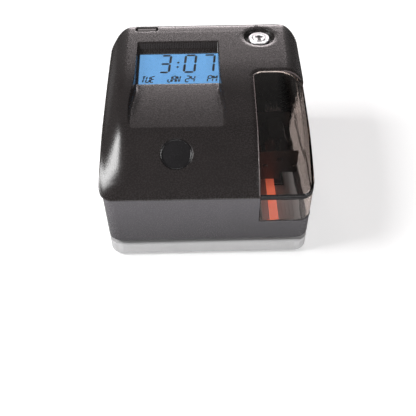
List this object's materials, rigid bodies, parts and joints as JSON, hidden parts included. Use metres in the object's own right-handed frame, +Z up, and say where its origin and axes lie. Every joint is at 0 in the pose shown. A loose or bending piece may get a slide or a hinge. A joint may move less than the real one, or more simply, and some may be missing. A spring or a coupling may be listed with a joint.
{
  "type": "date and time stamp machine",
  "caption": "Desk time stamp: a head with lit display, key lock and smoked corner window over a base plate, with a paper throat between them.",
  "frame": {"origin": "middle of the footprint, on the surface that the feet stand on", "axes": "+X to the right seen from the front, +Y to the rear, +Z up"},
  "size_m": [0.165, 0.1792, 0.107],
  "materials": {
    "cover_plastic": "fine-grained, near-black",
    "housing_plastic": "glossy dark grey",
    "base_plastic": "satin light grey",
    "dark_plastic": "satin black",
    "light_plastic": "smooth light grey",
    "smoked_window": "smoked clear acrylic",
    "clear_lens": "clear acrylic",
    "display_panel": "blue lit liquid crystal",
    "red_strip": "clear red",
    "rubber": "matte black",
    "ink_fabric": "inked woven ribbon",
    "steel": "zinc plated",
    "aluminium": "black anodised",
    "chrome": "polished",
    "circuit_board": "green solder mask"
  },
  "bodies": {
    "base": {"base_tray": "base_plastic", "bottom_plate": "steel", "platen": "rubber", "foot_1": "rubber", "foot_2": "rubber", "foot_3": "rubber", "foot_4": "rubber", "base_screw_1": "steel", "base_screw_2": "steel", "base_screw_3": "steel", "base_screw_4": "steel", "rear_column": "base_plastic", "lower_housing": "housing_plastic", "lower_window": "smoked_window", "rear_hook": "light_plastic", "dc_jack": "dark_plastic", "trigger_pin": "steel", "main_board": "circuit_board", "display_holder": "dark_plastic", "lcd_module": "display_panel", "print_frame": "steel", "guide_rod_left": "chrome", "guide_rod_right": "chrome", "drive_motor": "steel", "ribbon_cartridge": "dark_plastic", "ink_ribbon": "ink_fabric", "guide_strip": "red_strip"},
    "cover": {"top_cover": "cover_plastic", "upper_window": "smoked_window", "lcd_lens": "clear_lens", "emblem_disc": "dark_plastic", "lock_cylinder": "chrome", "lock_nut": "steel"},
    "lock": {"lock_plug": "chrome", "lock_cam": "steel"},
    "carriage": {"print_carriage": "dark_plastic", "print_head": "aluminium"},
    "screw": {"drive_screw": "steel", "screw_gear": "light_plastic"},
    "pinion": {"motor_pinion": "light_plastic"},
    "ribbon_drive": {"ribbon_knob": "light_plastic"},
    "stop": {"paper_stop": "dark_plastic"},
    "trigger": {"trigger_lever": "dark_plastic"},
    "key_1": {"button_1": "light_plastic"},
    "key_2": {"button_2": "light_plastic"},
    "key_3": {"button_3": "light_plastic"},
    "key_4": {"button_4": "light_plastic"}
  },
  "joints": [
    {"name": "cover_lift", "type": "slide", "parent": "base", "child": "cover", "axis": [0, 0, 1], "range_m": [0, 0.07]},
    {"name": "lock_turn", "type": "hinge", "parent": "cover", "child": "lock", "pos_m": [0.0483, 0.06765, 0.1], "axis": [0, 0, 1], "range_deg": [-90, 0]},
    {"name": "carriage_slide", "type": "slide", "parent": "base", "child": "carriage", "axis": [0, -1, 0], "range_m": [0, 0.0154]},
    {"name": "screw_turn", "type": "hinge", "parent": "base", "child": "screw", "pos_m": [0.0613, 0, 0.052], "axis": [0, 1, 0], "range_deg": [0, 504]},
    {"name": "pinion_turn", "type": "hinge", "parent": "base", "child": "pinion", "pos_m": [0.05045, 0.02, 0.04115], "axis": [0, 1, 0], "range_deg": [-1411.2, 0]},
    {"name": "ribbon_knob_turn", "type": "hinge", "parent": "base", "child": "ribbon_drive", "pos_m": [0.0173, -0.00585, 0.0428], "axis": [0, 0, 1], "continuous": true},
    {"name": "paper_stop_slide", "type": "slide", "parent": "base", "child": "stop", "axis": [0, -1, 0], "range_m": [0, 0.04]},
    {"name": "trigger_swing", "type": "hinge", "parent": "base", "child": "trigger", "pos_m": [-0.0037, 0.00715, 0.028], "axis": [1, 0, 0], "range_deg": [0, 25], "stiffness_Nm_per_rad": 0.002, "springref_deg": -17.19},
    {"name": "button_1_press", "type": "slide", "parent": "base", "child": "key_1", "axis": [0, 0, -1], "range_m": [0, 0.0004], "stiffness_N_per_m": 300, "springref_m": -0.0005},
    {"name": "button_2_press", "type": "slide", "parent": "base", "child": "key_2", "axis": [0, 0, -1], "range_m": [0, 0.0004], "stiffness_N_per_m": 300, "springref_m": -0.0005},
    {"name": "button_3_press", "type": "slide", "parent": "base", "child": "key_3", "axis": [0, 0, -1], "range_m": [0, 0.0004], "stiffness_N_per_m": 300, "springref_m": -0.0005},
    {"name": "button_4_press", "type": "slide", "parent": "base", "child": "key_4", "axis": [0, 0, -1], "range_m": [0, 0.0004], "stiffness_N_per_m": 300, "springref_m": -0.0005}
  ],
  "couplings": [
    {"joint": "screw_turn", "follows": "carriage_slide", "rad_per_m": 571.19},
    {"joint": "pinion_turn", "follows": "carriage_slide", "rad_per_m": -1599.3}
  ]
}
